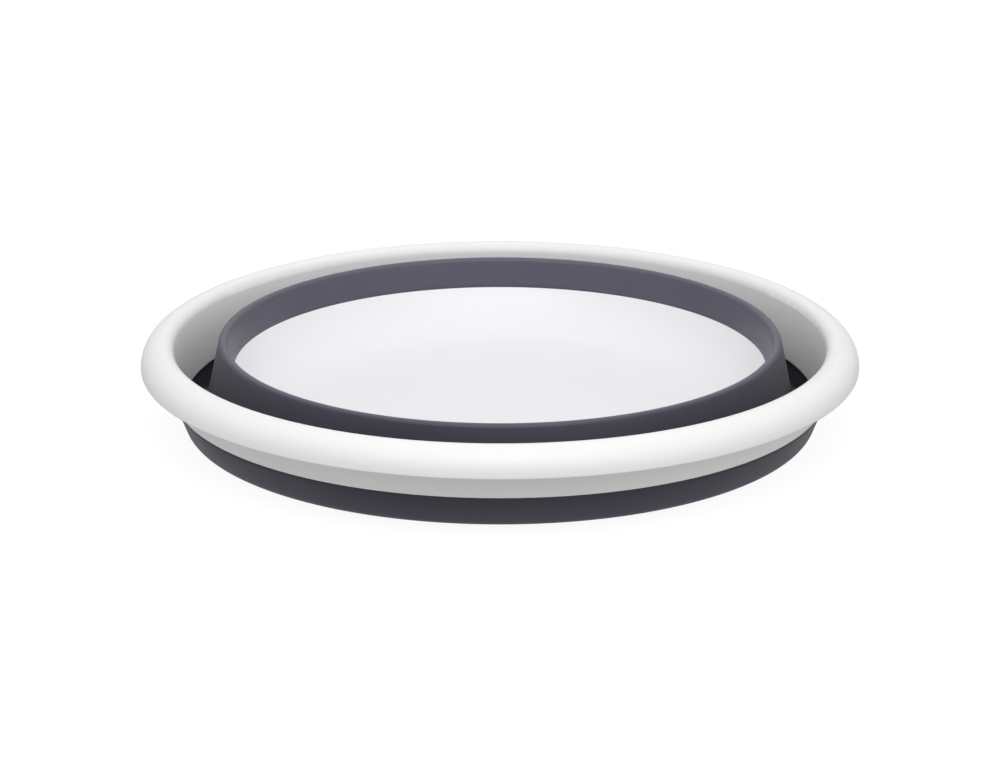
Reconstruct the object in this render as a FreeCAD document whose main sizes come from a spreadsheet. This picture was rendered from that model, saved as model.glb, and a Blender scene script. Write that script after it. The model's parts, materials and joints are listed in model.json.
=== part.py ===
import FreeCAD, Part
import math
import os
import Sketcher
from FreeCAD import Placement, Rotation, Vector

# Collapsible mixing bowl, millimetres, +Z up, origin on the table under the middle of the foot.
#
# The bowl is drawn collapsed. A rigid white rim and a rigid white dish are joined by one soft moulding
# that folds twice: down at the rim (the fold) and up at the dish (the crest). The moulding is made here
# in three rings, because its parts move apart: outer_band goes with the rim, inner_band stays with the
# dish, and flip_band between them rises half as far as the rim and turns inside out on the real bowl.
#
# Every piece is a ring about the Z axis, so a section is a sketch whose x is the radius and y the height.

START, END, CENTRE = 1, 2, 3
ORIGIN = (-1, 1)
FULL_TURN = 360.0
TOLERANCE = 1e-6

DIMENSIONS = [
    # the rim: a hollow bead with a long inner wall
    ("rim_radius", 150.0, "outermost radius, at the lip"),
    ("rim_height", 38.8, "top of the bead above the table"),
    ("rim_lip_height", 27.5, "lower edge of the lip"),
    ("rim_side_round", 10.6, "radius of the bead's outer side"),
    ("rim_crest_radius", 140.9, "radius at which the bead is highest"),
    ("rim_crest_round", 4.9, "radius of the bead's top"),
    ("rim_inner_radius", 131.9, "inner wall at its lower edge"),
    ("rim_inner_height", 12.5, "lower edge of the inner wall"),
    ("rim_wall", 1.6, "wall of the rim cover"),
    ("rim_edge_round", 0.7, "rounding of the cover's two free edges"),
    ("rib_count", 24.0, "ribs inside the bead, which stand on the flange"),
    ("rib_angle", 0.6, "thickness of a rib, in degrees about the axis"),
    ("tab_count", 12.0, "snap tabs inside the lip, under the flange"),
    ("tab_angle", 9.0, "width of a snap tab, in degrees about the axis"),
    ("tab_depth", 1.2, "height of a snap tab"),
    ("tab_reach", 0.9, "how far a snap tab stands in"),
    ("bite", 0.8, "how far a rib, tab or lap is buried in the wall it grows from"),
    # the carrier: the skirt that shows under the lip, and its flange inside the bead
    ("skirt_radius", 136.5, "outer face at its lower edge"),
    ("skirt_height", 15.4, "lower edge, where the soft band begins"),
    ("skirt_top_radius", 138.8, "outer face at its upper edge"),
    ("skirt_top_height", 31.0, "upper edge, inside the bead"),
    ("skirt_wall", 1.5, "wall of the skirt"),
    ("flange_radius", 147.5, "outer edge of the flange"),
    ("flange_height", 28.8, "underside of the flange"),
    ("flange_wall", 1.8, "thickness of the flange"),
    # the soft moulding
    ("soft_wall", 1.6, "thickness of the soft moulding"),
    ("fold_radius", 127.6, "radius of the fold's centre"),
    ("fold_height", 6.6, "height of the fold's centre"),
    ("fold_round", 4.85, "outside radius of the fold"),
    ("crest_radius", 114.75, "radius of the crest's centre"),
    ("crest_height", 36.5, "height of the crest's centre"),
    ("crest_round", 1.9, "outside radius of the crest"),
    ("parting", 0.3, "gap between two rings of the moulding that move apart"),
    ("lap_height", 22.0, "upper edge of the soft lap behind the skirt"),
    ("lap_depth", 1.8, "how far that lap reaches down behind the soft band"),
    ("lap_wall", 0.7, "thickness of that lap at its lower edge"),
    ("lap_top_radius", 135.5, "inner side of that lap at its upper edge"),
    # the dish
    ("dish_radius", 111.5, "inner face at the upper edge, where the soft band begins"),
    ("dish_height", 25.7, "upper edge of the dish"),
    ("dish_round", 36.0, "radius of the dish's curved side"),
    ("dish_wall", 2.4, "wall of the dish"),
    ("floor_radius", 82.0, "edge of the flat floor"),
    ("floor_height", 5.5, "inner face of the floor"),
    ("collar_height", 22.0, "lower edge of the soft collar behind the dish"),
    ("collar_wall", 1.6, "thickness of that collar"),
    ("collar_rise", 2.4, "how far that collar runs up behind the soft band"),
    # the foot
    ("foot_height", 0.0, "underside of the foot, on the table"),
    ("foot_inner_radius", 70.0, "inner side of the foot ring"),
    ("foot_outer_radius", 76.0, "outer side of the foot ring"),
    ("foot_seat", 0.8, "depth of the groove that holds the foot"),
    ("foot_chamfer", 0.8, "bevel of the foot's lower edges"),
]

doc = FreeCAD.newDocument("CollapsibleBowl")
sheet = doc.addObject("Spreadsheet::Sheet", "size")
for row, (alias, number, meaning) in enumerate(DIMENSIONS, start=1):
    sheet.set("A%d" % row, str(number))
    sheet.setAlias("A%d" % row, alias)
    sheet.set("B%d" % row, meaning)
doc.recompute()


def value(alias):
    """The present number in one cell of the sheet."""
    return float(sheet.get(alias))


def formula(text):
    """A sum such as "fold_radius - parting", as an expression on the sheet and as its present value."""
    total = 0.0
    sign = 1.0
    words = []
    for word in text.split():
        if word in ("+", "-"):
            sign = 1.0 if word == "+" else -1.0
            words.append(word)
        else:
            total += sign * value(word)
            words.append("size." + word)
    return " ".join(words), total


def bind(item, name, text):
    """Tie one property of an object to a sum of dimensions."""
    item.setExpression(name, formula(text)[0])


class Section:
    """A sketch in the plane through the axis. Its x is the radius and its y the height."""

    def __init__(self, name):
        self.sketch = doc.addObject("Sketcher::SketchObject", name)
        self.sketch.Placement = Placement(Vector(0, 0, 0), Rotation(Vector(1, 0, 0), 90))

    def line(self, start, end):
        """A straight edge. The two points are a first drawing, and the constraints then settle them."""
        return self.sketch.addGeometry(Part.LineSegment(Vector(*start, 0), Vector(*end, 0)), False)

    def arc(self, centre, radius, first, last):
        """A round edge, anticlockwise from one angle to the other. The angles are a first drawing."""
        circle = Part.Circle(Vector(*centre, 0), Vector(0, 0, 1), radius)
        edge = Part.ArcOfCircle(circle, math.radians(first), math.radians(last))
        return self.sketch.addGeometry(edge, False)

    def limit(self, text, kind, *elements):
        """A dimension between the given elements of the sketch, tied to a sum of the sheet's cells."""
        expression, number = formula(text)
        index = self.sketch.addConstraint(Sketcher.Constraint(kind, *elements, number))
        self.sketch.setExpression("Constraints[%d]" % index, expression)

    def place(self, edge, point, radius, height):
        """Fix a point of an edge. Either coordinate may be None, and is then left to the solver."""
        if radius:
            self.limit(radius, "DistanceX", *ORIGIN, edge, point)
        if height:
            self.limit(height, "DistanceY", *ORIGIN, edge, point)

    def rounded(self, edge, radius):
        """Fix the radius of an arc."""
        self.limit(radius, "Radius", edge)

    def smooth(self, edge, point, other, other_point):
        """Join two edges end to end without a corner."""
        self.sketch.addConstraint(Sketcher.Constraint("Tangent", edge, point, other, other_point))

    def corner(self, edge, point, other, other_point):
        """Join two edges end to end."""
        self.sketch.addConstraint(Sketcher.Constraint("Coincident", edge, point, other, other_point))


def outline(name, corners):
    """A closed section of straight edges through the given corners, each a pair of sums."""
    section = Section(name)
    points = [(formula(radius)[1], formula(height)[1]) for radius, height in corners]
    edges = [section.line(point, after) for point, after in zip(points, points[1:] + points[:1])]
    for edge, after, (radius, height) in zip(edges, edges[1:] + edges[:1], corners):
        section.place(edge, START, radius, height)
        section.corner(edge, END, after, START)
    return section.sketch


def turned(name, source, angle=FULL_TURN, start_angle=0.0):
    """Turn a section about the Z axis."""
    ring = doc.addObject("Part::Revolution", name)
    ring.Source = source
    ring.Axis = Vector(0, 0, 1)
    ring.Base = Vector(0, 0, 0)
    ring.Angle = angle
    ring.Solid = True
    ring.Placement = Placement(Vector(0, 0, 0), Rotation(Vector(0, 0, 1), start_angle))
    return ring


def wall(name, path, thickness):
    """Thicken an open path to a section of even wall, and turn it."""
    section = doc.addObject("Part::Offset2D", name + "_section")
    section.Source = path
    section.Mode = "Skin"
    section.Join = "Arc"
    section.Fill = True
    bind(section, "Value", thickness)
    return turned(name, section)


def repeated(name, source, angle, count):
    """Short stretches of a ring, spaced evenly about the axis."""
    step = FULL_TURN / count
    return [turned("%s_%d" % (name, index + 1), source, angle, step * index) for index in range(count)]


def joined(name, pieces):
    """One solid from several that overlap."""
    result = doc.addObject("Part::MultiFuse", name)
    result.Shapes = pieces
    result.Refine = False
    return result


def cut(name, base, tool):
    """The base with the tool's shape taken out of it."""
    result = doc.addObject("Part::Cut", name)
    result.Base = base
    result.Tool = tool
    return result


def circles_between(shape, low, high):
    """Numbers of the whole level circles of a shape whose height is in a range."""
    numbers = []
    for number, edge in enumerate(shape.Edges, start=1):
        box = edge.BoundBox
        level = box.ZLength < TOLERANCE
        if level and edge.isClosed() and low - TOLERANCE < box.ZMin < high + TOLERANCE:
            numbers.append(number)
    return numbers


def rim_cover():
    """Hollow bead with a long inner wall. Ribs keep its shape and tabs snap under the carrier's flange."""
    rim, top = value("rim_radius"), value("rim_height")
    side, crest = value("rim_side_round"), value("rim_crest_round")
    crest_centre = (value("rim_crest_radius"), top - crest)
    path = Section("rim_cover_path")
    lip = path.line((rim, value("rim_lip_height")), (rim, value("flange_height")))
    outer = path.arc((rim - side, value("flange_height")), side, 0, 60)
    bead = path.arc(crest_centre, crest, 60, 170)
    inner = path.line(crest_centre, (value("rim_inner_radius"), value("rim_inner_height")))
    path.sketch.addConstraint(Sketcher.Constraint("Vertical", lip))
    path.place(lip, START, "rim_radius", "rim_lip_height")
    path.smooth(lip, END, outer, START)
    path.rounded(outer, "rim_side_round")
    path.smooth(outer, END, bead, START)
    path.rounded(bead, "rim_crest_round")
    path.place(bead, CENTRE, "rim_crest_radius", "rim_height - rim_crest_round")
    path.smooth(bead, END, inner, START)
    path.place(inner, END, "rim_inner_radius", "rim_inner_height")
    shell = wall("rim_cover_shell", path.sketch, "rim_wall")
    doc.recompute()

    lip_height, inner_height = value("rim_lip_height"), value("rim_inner_height")
    free_edges = circles_between(shell.Shape, lip_height, lip_height)
    free_edges += circles_between(shell.Shape, inner_height - value("rim_wall"), inner_height)
    edge_round = value("rim_edge_round")
    eased = doc.addObject("Part::Fillet", "rim_cover_eased")
    eased.Base = shell
    eased.Edges = [(number, edge_round, edge_round) for number in free_edges]

    rib = outline("rim_rib", [
        ("rim_crest_radius", "flange_height + flange_wall"),
        ("rim_radius - rim_wall + bite", "flange_height + flange_wall"),
        ("rim_radius - rim_wall - bite", "rim_height - rim_crest_round"),
        ("rim_crest_radius + rim_wall", "rim_height - rim_wall"),
        ("rim_crest_radius", "rim_height - bite"),
    ])
    tab = outline("rim_tab", [
        ("rim_radius - rim_wall + bite", "flange_height - tab_depth"),
        ("rim_radius - rim_wall - tab_reach", "flange_height"),
        ("rim_radius - rim_wall + bite", "flange_height"),
    ])
    ribs = repeated("rib", rib, value("rib_angle"), int(value("rib_count")))
    tabs = repeated("tab", tab, value("tab_angle"), int(value("tab_count")))
    return joined("rim_cover", [eased] + ribs + tabs)


def rim_carrier():
    """The skirt under the lip. Its flange closes the bead from below and carries the cover's tabs."""
    skirt = turned("rim_skirt", outline("rim_skirt_section", [
        ("skirt_radius", "skirt_height"),
        ("skirt_top_radius", "skirt_top_height"),
        ("skirt_top_radius - skirt_wall", "skirt_top_height"),
        ("skirt_radius - skirt_wall", "skirt_height"),
    ]))
    flange = turned("rim_flange", outline("rim_flange_section", [
        ("skirt_top_radius - skirt_wall", "flange_height"),
        ("flange_radius", "flange_height"),
        ("flange_radius", "flange_height + flange_wall"),
        ("skirt_top_radius - skirt_wall", "flange_height + flange_wall"),
    ]))
    return joined("rim_carrier", [skirt, flange])


def outer_band(carrier):
    """Soft band from the skirt down to the lowest point of the fold, with a lap behind the skirt."""
    centre = (value("fold_radius"), value("fold_height"))
    path = Section("outer_band_path")
    fold = path.arc(centre, value("fold_round"), -88, -22)
    face = path.line((centre[0] + value("fold_round"), centre[1]),
                     (value("skirt_radius"), value("skirt_height")))
    path.place(fold, CENTRE, "fold_radius + parting", "fold_height")
    path.rounded(fold, "fold_round")
    path.place(fold, START, "fold_radius + parting", None)
    path.smooth(fold, END, face, START)
    path.place(face, END, "skirt_radius", "skirt_height")
    band = wall("outer_band_wall", path.sketch, "soft_wall")
    lap = turned("outer_band_lap", outline("outer_band_lap_section", [
        ("skirt_radius - skirt_wall - lap_wall", "skirt_height - lap_depth"),
        ("skirt_radius - bite", "skirt_height - lap_depth"),
        ("skirt_top_radius - skirt_wall", "lap_height"),
        ("lap_top_radius", "lap_height"),
    ]))
    return cut("outer_band", joined("outer_band_blank", [band, lap]), carrier)


def flip_band():
    """Soft cone from the fold up to the crest: the half of the moulding that turns inside out."""
    fold_centre = (value("fold_radius"), value("fold_height"))
    crest_centre = (value("crest_radius"), value("crest_height"))
    inside = value("fold_round") - value("soft_wall")
    path = Section("flip_band_path")
    crest = path.arc(crest_centre, value("crest_round"), 17, 88)
    face = path.line((crest_centre[0] + value("crest_round"), crest_centre[1]),
                     (fold_centre[0] - inside, fold_centre[1]))
    fold = path.arc(fold_centre, inside, 197, 268)
    path.place(crest, CENTRE, "crest_radius + parting", "crest_height")
    path.rounded(crest, "crest_round")
    path.place(crest, END, "crest_radius + parting", None)
    path.smooth(crest, START, face, START)
    path.smooth(face, END, fold, START)
    path.place(fold, CENTRE, "fold_radius", "fold_height")
    path.rounded(fold, "fold_round - soft_wall")
    path.place(fold, END, "fold_radius", None)
    return wall("flip_band", path.sketch, "soft_wall")


def inner_band(dish):
    """Soft band from the crest down to the dish, with a collar behind the dish's edge."""
    centre = (value("crest_radius"), value("crest_height"))
    path = Section("inner_band_path")
    crest = path.arc(centre, value("crest_round"), 92, 160)
    face = path.line((centre[0] - value("crest_round"), centre[1]),
                     (value("dish_radius"), value("dish_height")))
    path.place(crest, CENTRE, "crest_radius", "crest_height")
    path.rounded(crest, "crest_round")
    path.place(crest, START, "crest_radius", None)
    path.smooth(crest, END, face, START)
    path.place(face, END, "dish_radius", "dish_height")
    band = wall("inner_band_wall", path.sketch, "soft_wall")
    collar = turned("inner_band_collar", outline("inner_band_collar_section", [
        ("dish_radius + bite", "dish_height"),
        ("dish_radius + soft_wall", "dish_height + collar_rise"),
        ("dish_radius + dish_wall + collar_wall", "dish_height"),
        ("dish_radius + collar_wall", "collar_height"),
        ("dish_radius", "collar_height"),
    ]))
    return cut("inner_band", joined("inner_band_blank", [band, collar]), dish)


def base_dish(foot):
    """Rigid dish with a flat floor. The foot sits in a groove under the floor."""
    floor_edge = (value("floor_radius"), value("floor_height"))
    top_edge = (value("dish_radius"), value("dish_height"))
    path = Section("base_dish_path")
    floor = path.line((0, floor_edge[1]), floor_edge)
    side = path.arc((floor_edge[0], floor_edge[1] + value("dish_round")), value("dish_round"), -82, -25)
    path.place(floor, START, None, "floor_height")
    path.sketch.addConstraint(Sketcher.Constraint("PointOnObject", floor, START, -2))
    path.place(floor, END, "floor_radius", "floor_height")
    path.corner(floor, END, side, START)
    path.rounded(side, "dish_round")
    path.place(side, END, "dish_radius", "dish_height")
    return cut("base_dish", wall("base_dish_wall", path.sketch, "- dish_wall"), foot)


def foot_ring():
    """Non-slip ring on which the bowl stands."""
    return turned("foot_ring", outline("foot_ring_section", [
        ("foot_inner_radius + foot_chamfer", "foot_height"),
        ("foot_outer_radius - foot_chamfer", "foot_height"),
        ("foot_outer_radius", "foot_height + foot_chamfer"),
        ("foot_outer_radius", "floor_height - dish_wall + foot_seat"),
        ("foot_inner_radius", "floor_height - dish_wall + foot_seat"),
        ("foot_inner_radius", "foot_height + foot_chamfer"),
    ]))


foot = foot_ring()
dish = base_dish(foot)
carrier = rim_carrier()
nodes = [foot, dish, inner_band(dish), flip_band(), outer_band(carrier), carrier, rim_cover()]
for node in nodes:
    node.Label = node.Name
doc.recompute()

for item in doc.Objects:
    if "Invalid" in item.State or "Error" in item.State:
        raise RuntimeError("%s failed: %s" % (item.Label, item.State))
for node in nodes:
    if node.Shape.isNull() or not node.Shape.isValid():
        raise RuntimeError("%s has no valid shape" % node.Label)

os.makedirs("parts", exist_ok=True)
for node in nodes:
    node.Shape.exportStep("parts/%s.step" % node.Label)
    box = node.Shape.BoundBox
    print("%-12s %9.0f mm3, radius %.2f, height %.2f to %.2f, solids %d" % (
        node.Label, node.Shape.Volume, box.XMax, box.ZMin, box.ZMax, len(node.Shape.Solids)))
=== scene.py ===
import json
import math

import bpy
import numpy as np
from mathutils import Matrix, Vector

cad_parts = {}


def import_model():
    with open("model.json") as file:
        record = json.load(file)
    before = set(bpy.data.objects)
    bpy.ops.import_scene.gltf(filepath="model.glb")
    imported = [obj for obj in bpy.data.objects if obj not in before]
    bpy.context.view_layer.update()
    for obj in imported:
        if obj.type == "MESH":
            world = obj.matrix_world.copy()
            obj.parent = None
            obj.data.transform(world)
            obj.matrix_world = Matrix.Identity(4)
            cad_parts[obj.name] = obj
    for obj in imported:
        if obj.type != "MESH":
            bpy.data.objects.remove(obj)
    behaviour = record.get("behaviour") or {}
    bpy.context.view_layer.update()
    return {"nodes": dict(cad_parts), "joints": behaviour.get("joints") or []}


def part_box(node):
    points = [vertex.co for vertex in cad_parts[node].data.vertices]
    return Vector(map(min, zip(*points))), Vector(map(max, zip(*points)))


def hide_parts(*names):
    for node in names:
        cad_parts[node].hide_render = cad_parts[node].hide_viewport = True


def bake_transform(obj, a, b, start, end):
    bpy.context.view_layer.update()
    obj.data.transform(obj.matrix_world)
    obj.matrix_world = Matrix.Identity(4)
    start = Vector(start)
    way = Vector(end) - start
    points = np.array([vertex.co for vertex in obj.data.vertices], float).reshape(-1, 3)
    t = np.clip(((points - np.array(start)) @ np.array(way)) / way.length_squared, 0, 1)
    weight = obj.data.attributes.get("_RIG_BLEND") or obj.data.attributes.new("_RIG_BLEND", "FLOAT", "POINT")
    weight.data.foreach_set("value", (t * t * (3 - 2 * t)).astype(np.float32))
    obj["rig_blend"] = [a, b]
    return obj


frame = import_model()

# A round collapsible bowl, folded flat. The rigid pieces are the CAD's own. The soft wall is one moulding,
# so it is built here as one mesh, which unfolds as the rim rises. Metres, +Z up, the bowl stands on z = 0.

MM = 0.001

# The soft wall. These are the moulding's own sizes. Where it lies comes from the CAD nodes' boxes.
SOFT_WALL = 1.6 * MM
CREST_ROUND = 1.9 * MM       # outside radius of the bend at the top, near the dish
FOLD_ROUND = 4.85 * MM       # outside radius of the bend at the bottom, near the rim
PARTING = 0.3 * MM           # each bend has two centres, this far apart
DISH_EDGE = 111.5 * MM       # radius at which the wall meets the dish
DISH_WALL = 2.4 * MM
DISH_WALL_DROP = 1.05 * MM   # how much lower the dish's edge is outside than inside
SKIRT_WALL = 1.5 * MM
SKIRT_FLARE = 2.3 / 15.6     # how much the skirt widens for its height
LAP_WALL = 0.7 * MM          # the lap behind the skirt
LAP_DEPTH = 1.8 * MM         # how far the lap reaches down behind the band
COLLAR_WALL = 1.6 * MM       # the collar behind the dish's edge
COLLAR_RISE = 2.4 * MM       # how far the collar runs up behind the band
TURNS = 360                  # segments round the bowl
INSIDE, OUTSIDE = 1, -1      # the two faces of the wall, when it is open
FOLD_STEPS, CREST_STEPS, CONE_STEPS = 12, 8, 16
POLYPROPYLENE_IOR, ELASTOMER_IOR = 1.49, 1.47
PAINTED_LIGHT_AND_SHADE = "painted_light_and_shade"            # painted light and shade on the soft wall, from 0 (painted shade) to 1 (painted light)


def node_box(name):
    """Outer radius, lowest and highest point of a CAD node."""
    low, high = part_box(name)
    return high.x, low.z, high.z


# ---------------------------------------------------------------- materials

def new_material(name, colour, roughness, ior):
    """A Principled material, with its tree and its shader node."""
    material = bpy.data.materials.new(name)
    material.use_nodes = True
    tree = material.node_tree
    shader = tree.nodes["Principled BSDF"]
    shader.inputs["Base Color"].default_value = (*colour, 1.0)
    shader.inputs["Roughness"].default_value = roughness
    shader.inputs["IOR"].default_value = ior
    return material, tree, shader


def noise(tree, scale, detail, stretch=(1, 1, 1)):
    """A noise texture in object space, so it stays with the surface."""
    place = tree.nodes.new("ShaderNodeTexCoord")
    mapping = tree.nodes.new("ShaderNodeMapping")
    mapping.inputs["Scale"].default_value = stretch
    texture = tree.nodes.new("ShaderNodeTexNoise")
    texture.inputs["Scale"].default_value = scale
    texture.inputs["Detail"].default_value = detail
    tree.links.new(place.outputs["Object"], mapping.inputs["Vector"])
    tree.links.new(mapping.outputs["Vector"], texture.inputs["Vector"])
    return texture.outputs["Fac"]


def ranged(tree, source, low, high):
    """Spread a noise signal, which keeps near its middle, over a range of values."""
    spread = tree.nodes.new("ShaderNodeMapRange")
    usual_low, usual_high = 0.2, 0.8
    spread.inputs["From Min"].default_value = usual_low
    spread.inputs["From Max"].default_value = usual_high
    spread.inputs["To Min"].default_value = low
    spread.inputs["To Max"].default_value = high
    tree.links.new(source, spread.inputs["Value"])
    return spread.outputs["Result"]


def tinted(tree, source, first, second):
    """A colour between two, as the signal says."""
    mix = tree.nodes.new("ShaderNodeMix")
    mix.data_type = "RGBA"
    mix.inputs["A"].default_value = (*first, 1.0)
    mix.inputs["B"].default_value = (*second, 1.0)
    tree.links.new(source, mix.inputs["Factor"])
    return mix.outputs["Result"]


def bumped(tree, shader, height, distance):
    """Fine relief from a signal, with its depth in metres."""
    bump = tree.nodes.new("ShaderNodeBump")
    bump.inputs["Strength"].default_value = 1.0
    bump.inputs["Distance"].default_value = distance
    tree.links.new(height, bump.inputs["Height"])
    tree.links.new(bump.outputs["Normal"], shader.inputs["Normal"])


def moulded_white(name, light, shade, roughness):
    """White polypropylene: a faint cloudiness in colour and gloss, and a fine spark-eroded grain."""
    material, tree, shader = new_material(name, light, roughness, POLYPROPYLENE_IOR)
    cloud = noise(tree, scale=9.0, detail=3.0)
    tree.links.new(tinted(tree, cloud, light, shade), shader.inputs["Base Color"])
    patch = noise(tree, scale=35.0, detail=2.0)
    variation = 0.04
    gloss = ranged(tree, patch, roughness - variation, roughness + variation)
    tree.links.new(gloss, shader.inputs["Roughness"])
    bumped(tree, shader, noise(tree, scale=1500.0, detail=2.0), distance=0.012 * MM)
    return material


def soft_rubber(name, light, painted_shade_colour):
    """Dark grey elastomer: a dry satin skin, with painted light and shade read from a mesh attribute, a faint
    random cloudiness and a fine grain.

    The first colour is painted light, on the crest and the lower outer band, and the second is painted shade,
    in the cone, the groove and the band's top under the skirt."""
    roughness, variation, cloudiness = 0.44, 0.06, 0.25
    material, tree, shader = new_material(name, light, roughness, ELASTOMER_IOR)
    # the attribute holds painted light and shade: 1 gives the painted-light colour, 0 the painted-shade
    # colour
    painted_light_and_shade = tree.nodes.new("ShaderNodeAttribute")
    painted_light_and_shade.attribute_name = PAINTED_LIGHT_AND_SHADE
    cloud = tree.nodes.new("ShaderNodeMath")
    cloud.operation = "MULTIPLY_ADD"
    cloud.inputs[1].default_value = cloudiness
    tree.links.new(noise(tree, scale=16.0, detail=5.0), cloud.inputs[0])
    tree.links.new(painted_light_and_shade.outputs["Fac"], cloud.inputs[2])
    tree.links.new(tinted(tree, cloud.outputs["Value"], painted_shade_colour, light), shader.inputs["Base Color"])
    patch = noise(tree, scale=40.0, detail=5.0, stretch=(1, 1, 3))
    gloss = ranged(tree, patch, roughness - variation, roughness + variation)
    tree.links.new(gloss, shader.inputs["Roughness"])
    shader.inputs["Specular Tint"].default_value = (0.93, 0.90, 1.0, 1.0)
    bumped(tree, shader, noise(tree, scale=1200.0, detail=3.0), distance=0.02 * MM)
    return material


def paint(node, material):
    """Give a CAD node its finished material."""
    for slot in frame["nodes"][node].material_slots:
        slot.material = material


# ---------------------------------------------------------------- the soft wall

def arc(centre, radius, first, last, steps):
    """Points of an arc between two angles in degrees, both ends included."""
    points = []
    for step in range(steps + 1):
        angle = math.radians(first + (last - first) * step / steps)
        points.append((centre[0] + radius * math.cos(angle), centre[1] + radius * math.sin(angle)))
    return points


def straight(start, end, steps):
    """Points on the line from one point to another, the end left out."""
    points = []
    for step in range(steps):
        share = step / steps
        points.append((start[0] + (end[0] - start[0]) * share, start[1] + (end[1] - start[1]) * share))
    return points


def lean(high, low, reach):
    """How far from upright, in degrees, a straight face leans that touches a circle about one point, or both.

    The reach is the sum of the circles' radii."""
    across, down = abs(high[0] - low[0]), abs(high[1] - low[1])
    return math.degrees(math.acos(reach / math.hypot(across, down)) - math.atan2(down, across))


def lathe(name, profile, turns):
    """A ring from a closed profile of (radius, height) points, clockwise where the axis is on the left."""
    count = len(profile)
    vertices = []
    for turn in range(turns):
        angle = 2 * math.pi * turn / turns
        for radius, height in profile:
            vertices.append((radius * math.cos(angle), radius * math.sin(angle), height))
    faces = []
    for turn in range(turns):
        here, there = turn * count, (turn + 1) % turns * count
        for index in range(count):
            after = (index + 1) % count
            faces.append((here + after, there + after, there + index, here + index))
    mesh = bpy.data.meshes.new(name)
    mesh.from_pydata(vertices, [], faces)
    mesh.polygons.foreach_set("use_smooth", [True] * len(faces))
    mesh.validate()
    mesh.update()
    ring = bpy.data.objects.new(name, mesh)
    bpy.context.scene.collection.objects.link(ring)
    return ring


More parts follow.
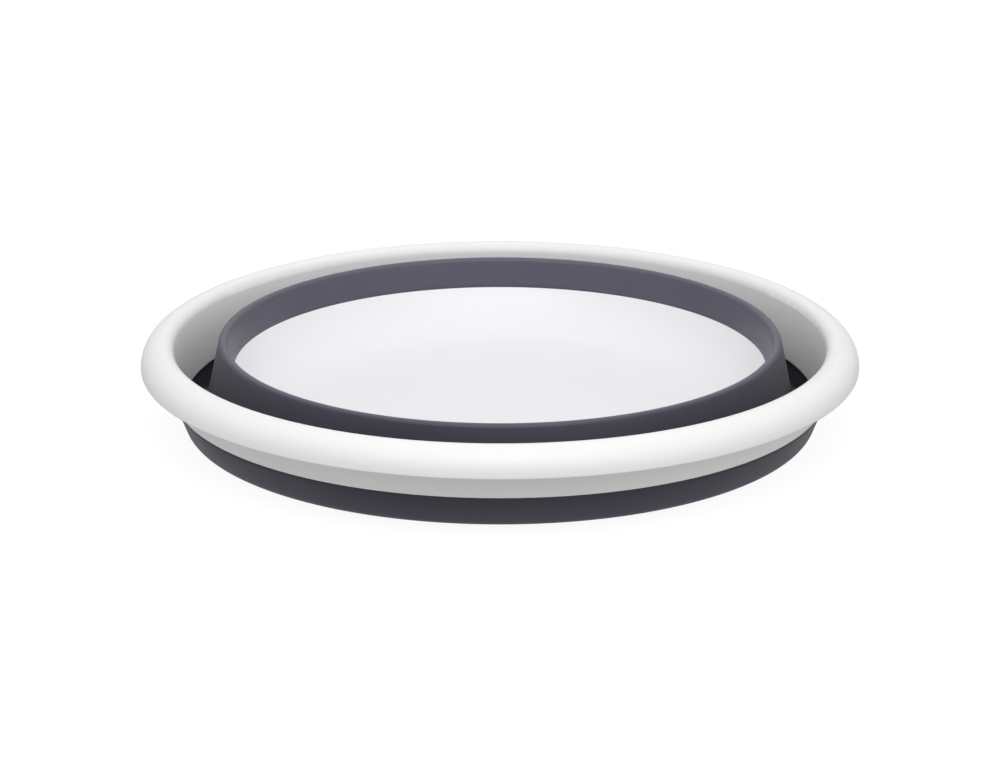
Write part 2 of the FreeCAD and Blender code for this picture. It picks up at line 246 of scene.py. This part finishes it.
class SoftWall:
    """The soft moulding: its section when folded, and how high each point of it is when opened."""

    def __init__(self):
        self.skirt = node_box("outer_band")[0], node_box("rim_carrier")[1]
        fold_radius, fold_bottom, _ = node_box("flip_band")
        crest_radius, self.collar_low, crest_top = node_box("inner_band")
        self.lap_top = node_box("outer_band")[2]
        self.dish_corner, _, dish_top = node_box("base_dish")
        self.dish = DISH_EDGE, dish_top
        self.fold = fold_radius, fold_bottom + FOLD_ROUND
        self.fold_out = fold_radius + PARTING, self.fold[1]
        self.crest = crest_radius, crest_top - CREST_ROUND
        self.crest_out = crest_radius + PARTING, self.crest[1]
        self.outer_lean = lean(self.skirt, self.fold_out, FOLD_ROUND)
        self.cone_lean = lean(self.crest_out, self.fold, FOLD_ROUND - SOFT_WALL + CREST_ROUND)
        self.inner_lean = lean(self.crest, self.dish, CREST_ROUND)

    def fold_arc(self, radius):
        """Round the fold, from the rim's side to the dish's side."""
        first = arc(self.fold_out, radius, -self.outer_lean, -90, FOLD_STEPS)
        return first + arc(self.fold, radius, -90, -180 + self.cone_lean, FOLD_STEPS)

    def crest_arc(self, radius):
        """Round the crest, from the rim's side to the dish's side."""
        first = arc(self.crest_out, radius, self.cone_lean, 90, CREST_STEPS)
        return first + arc(self.crest, radius, 90, 180 - self.inner_lean, CREST_STEPS)

    def outer_face(self):
        """The face that is outside when the bowl is open, from the skirt to the dish's collar."""
        fold = self.fold_arc(FOLD_ROUND)
        crest = self.crest_arc(CREST_ROUND - SOFT_WALL)
        shoulder = self.dish[0] + DISH_WALL, self.dish[1] + COLLAR_RISE * 0.6
        return (straight(self.skirt, fold[0], 6) + fold[:-1] + straight(fold[-1], crest[0], CONE_STEPS)
                + crest[:-1] + straight(crest[-1], shoulder, 4) + [shoulder])

    def collar(self):
        """The collar that hugs the back of the dish's edge."""
        edge, top = self.dish
        outer = edge + COLLAR_WALL, self.collar_low
        inner = outer[0] - COLLAR_WALL / 2, self.collar_low
        return [(edge + DISH_WALL + COLLAR_WALL, top), outer, inner, (self.dish_corner, top - DISH_WALL_DROP)]

    def inner_face(self):
        """The face that is inside when the bowl is open, from the dish to the lap."""
        crest = self.crest_arc(CREST_ROUND)[::-1]
        fold = self.fold_arc(FOLD_ROUND - SOFT_WALL)[::-1]
        lap = self.skirt[0] - SKIRT_WALL - LAP_WALL, self.skirt[1] - LAP_DEPTH
        return (straight(self.dish, crest[0], 6) + crest[:-1] + straight(crest[-1], fold[0], CONE_STEPS)
                + fold[:-1] + straight(fold[-1], lap, 5) + [lap])

    def lap(self):
        """The lap behind the skirt."""
        back = self.skirt[0] - SKIRT_WALL
        flare = SKIRT_FLARE * (self.lap_top - self.skirt[1])
        return [(back + flare - LAP_WALL / 2, self.lap_top), (back + flare, self.lap_top),
                (back, self.skirt[1])]

    def opened_middle(self, rise):
        """The wall's middle line when the rim has risen, as (radius, height) points.

        The crest's bend keeps its length, the cone has turned over, and the fold's bend takes what is left
        of the rise. The corners are rounded."""
        half = SOFT_WALL / 2
        crest = self.crest_arc(CREST_ROUND - half)
        fold = self.fold_arc(FOLD_ROUND - half)
        bend = (CREST_ROUND - half) * math.radians(180 - self.inner_lean - self.cone_lean) + PARTING
        first = crest[-1]
        second = crest[0][0], first[1] + math.sqrt(bend ** 2 - (crest[0][0] - first[0]) ** 2)
        third = fold[-1][0], second[1] + crest[0][1] - fold[-1][1]
        fourth = fold[0][0], fold[0][1] + rise
        run, samples = 5 * MM, 1200
        crest_softness, fold_softness = 0.5 * MM, 1.6 * MM
        start = first[0] - run, first[1] - run / math.tan(math.radians(self.inner_lean))
        end = fourth[0] + run, fourth[1] + run / math.tan(math.radians(self.outer_lean))
        corners = np.array([start, first, second, third, fourth, end])
        radii = np.linspace(start[0], end[0], samples)
        heights = np.interp(radii, corners[:, 0], corners[:, 1])
        sums = np.concatenate([[0], np.cumsum((heights[1:] + heights[:-1]) / 2 * np.diff(radii))])
        reach = np.interp(radii, [self.crest[0], self.fold[0]], [crest_softness, fold_softness])
        low = np.maximum(radii - reach, start[0])
        high = np.minimum(radii + reach, end[0])
        means = (np.interp(high, radii, sums) - np.interp(low, radii, sums)) / (high - low)
        return np.column_stack([radii, means])

    def shares(self, points, side, rise):
        """How much of the rim's rise each point of a face follows, from 0 to 1."""
        middle = self.opened_middle(rise)
        along = np.gradient(middle, axis=0)
        along /= np.linalg.norm(along, axis=1)[:, None]
        face = middle + side * SOFT_WALL / 2 * np.column_stack([-along[:, 1], along[:, 0]])
        radii, heights = np.array(points).T
        return np.clip((np.interp(radii, face[:, 0], face[:, 1]) - heights) / rise, 0, 1)


def spread(mesh, name, values):
    """Write one value for each point of the profile on every turn of a lathed mesh."""
    attribute = mesh.attributes.get(name) or mesh.attributes.new(name, "FLOAT", "POINT")
    attribute.data.foreach_set("value", np.tile(np.array(values, np.float32), TURNS))


def soft_wall(material):
    """The whole soft moulding as one closed mesh, which unfolds as the rim rises."""
    section = SoftWall()
    rise = next(joint["range_m"][1] for joint in frame["joints"] if joint["name"] == "rim_rise")
    outer, collar, inner, lap = section.outer_face(), section.collar(), section.inner_face(), section.lap()
    wall = lathe("soft_wall", outer + collar + inner + lap, TURNS)
    wall.data.materials.append(material)
    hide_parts("outer_band", "flip_band", "inner_band")
    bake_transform(wall, "base", "rim", start=(0, 0, 1), end=(0, 0, 2))
    shares = [section.shares(outer, OUTSIDE, rise), np.zeros(len(collar)),
              section.shares(inner, INSIDE, rise), np.ones(len(lap))]
    spread(wall.data, "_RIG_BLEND", np.concatenate(shares))

    crest, fold, skirt = section.crest[0], section.fold[0], section.skirt[0]
    # Painted light and shade: the crest is painted pale as a highlight and the inner wall below it a little
    # less. The cone and the groove are painted dark as shade, and the outer band is dark at its top, in the
    # skirt's shade, and paler down to the fold.
    outside = np.interp([radius for radius, _ in outer], [fold, skirt], [0.75, 0.0])
    down_the_cone = [crest - CREST_ROUND, crest, crest + 2 * MM, fold - 3 * MM]
    inside = np.interp([radius for radius, _ in inner], down_the_cone, [0.6, 1.0, 0.15, 0.0])
    painted_light_and_shade = [outside, np.zeros(len(collar)), inside, np.zeros(len(lap))]
    spread(wall.data, PAINTED_LIGHT_AND_SHADE, np.concatenate(painted_light_and_shade))
    return wall


# ---------------------------------------------------------------- studio

def area_light(name, place, size, radiance):
    """A soft box that faces the bowl. At a radiance of 1 its face shows as plain white."""
    data = bpy.data.lights.new(name, "AREA")
    data.shape = "RECTANGLE"
    data.size, data.size_y = size
    data.energy = radiance * math.pi * size[0] * size[1]
    lamp = bpy.data.objects.new(name, data)
    lamp.location = place
    lamp.rotation_euler = (-Vector(place)).to_track_quat("-Z", "Y").to_euler()
    bpy.context.scene.collection.objects.link(lamp)


def floor():
    """A white floor that sweeps up into a wall all round. It lights nothing: the world does that."""
    hub, reach, sweep, top, turns = 0.02, 6.0, 1.5, 5.0, 96
    profile = [(hub, 0.0)] + arc((reach - sweep, sweep), sweep, -90, 0, 12) + [(reach, top)]
    vertices, faces = [], []
    for turn in range(turns):
        angle = 2 * math.pi * turn / turns
        for radius, height in profile:
            vertices.append((radius * math.cos(angle), radius * math.sin(angle), height))
    count = len(profile)
    for turn in range(turns):
        here, there = turn * count, (turn + 1) % turns * count
        faces += [(here + index, here + index + 1, there + index + 1, there + index)
                  for index in range(count - 1)]
    faces.append([turn * count for turn in range(turns)])
    mesh = bpy.data.meshes.new("floor")
    mesh.from_pydata(vertices, [], faces)
    ground = bpy.data.objects.new("floor", mesh)
    bpy.context.scene.collection.objects.link(ground)
    material, _, shader = new_material("floor_white", (0.12, 0.12, 0.12), 1.0, 1.45)
    shader.inputs["Specular IOR Level"].default_value = 0.0
    shader.inputs["Emission Color"].default_value = (1, 1, 1, 1)
    shader.inputs["Emission Strength"].default_value = 0.92
    mesh.materials.append(material)
    ground.visible_diffuse = False
    ground.visible_glossy = False
    ground.visible_shadow = False


def world():
    """A studio that is a little brighter overhead than underfoot."""
    below, above = 0.44, 0.74
    studio = bpy.data.worlds.new("studio")
    studio.use_nodes = True
    tree = studio.node_tree
    place = tree.nodes.new("ShaderNodeTexCoord")
    axes = tree.nodes.new("ShaderNodeSeparateXYZ")
    strength = tree.nodes.new("ShaderNodeMapRange")
    strength.inputs["From Min"].default_value = -1.0
    strength.inputs["From Max"].default_value = 1.0
    strength.inputs["To Min"].default_value = below
    strength.inputs["To Max"].default_value = above
    tree.links.new(place.outputs["Generated"], axes.inputs["Vector"])
    tree.links.new(axes.outputs["Z"], strength.inputs["Value"])
    background = tree.nodes["Background"]
    background.inputs["Color"].default_value = (1, 1, 1, 1)
    tree.links.new(strength.outputs["Result"], background.inputs["Strength"])
    bpy.context.scene.world = studio


def camera():
    """A long lens, a little above the bowl."""
    distance = 1.4
    elevation = math.radians(17.84)
    tip = 0.0068
    above_skirt = 11.2 * MM
    aim = node_box("rim_carrier")[1] + above_skirt
    data = bpy.data.cameras.new("camera")
    data.sensor_width = 36.0
    data.lens = 120.05
    data.clip_start, data.clip_end = 0.05, 50.0
    eye = bpy.data.objects.new("camera", data)
    eye.location = (0, -distance * math.cos(elevation), aim + distance * math.sin(elevation))
    eye.rotation_euler = (math.pi / 2 - elevation - tip, 0, 0)
    bpy.context.scene.collection.objects.link(eye)
    bpy.context.scene.camera = eye


# ---------------------------------------------------------------- the scene

white_rim = moulded_white("white_rim", (0.86, 0.86, 0.855), (0.84, 0.84, 0.835), 0.42)
white_dish = moulded_white("white_dish", (0.86, 0.857, 0.875), (0.84, 0.838, 0.858), 0.36)
# soft_grey's first colour is painted light, its second painted shade
soft_grey = soft_rubber("soft_grey", (0.112, 0.106, 0.143), (0.024, 0.023, 0.033))
paint("rim_cover", white_rim)
paint("rim_carrier", white_rim)
paint("base_dish", white_dish)
# the foot ring has no painted light and shade attribute, so it shows the painted-shade colour with its
# cloudiness
paint("foot_ring", soft_grey)
soft_wall(soft_grey)

floor()
world()
camera()
area_light("key", (0, -1.1, 1.5), (1.8, 0.9), 2.45)
area_light("top", (0, 0, 1.6), (1.6, 1.6), 0.45)
area_light("side", (1.3, -1.2, 0.9), (0.8, 0.8), 0.98)
bpy.context.scene.view_settings.view_transform = "Standard"
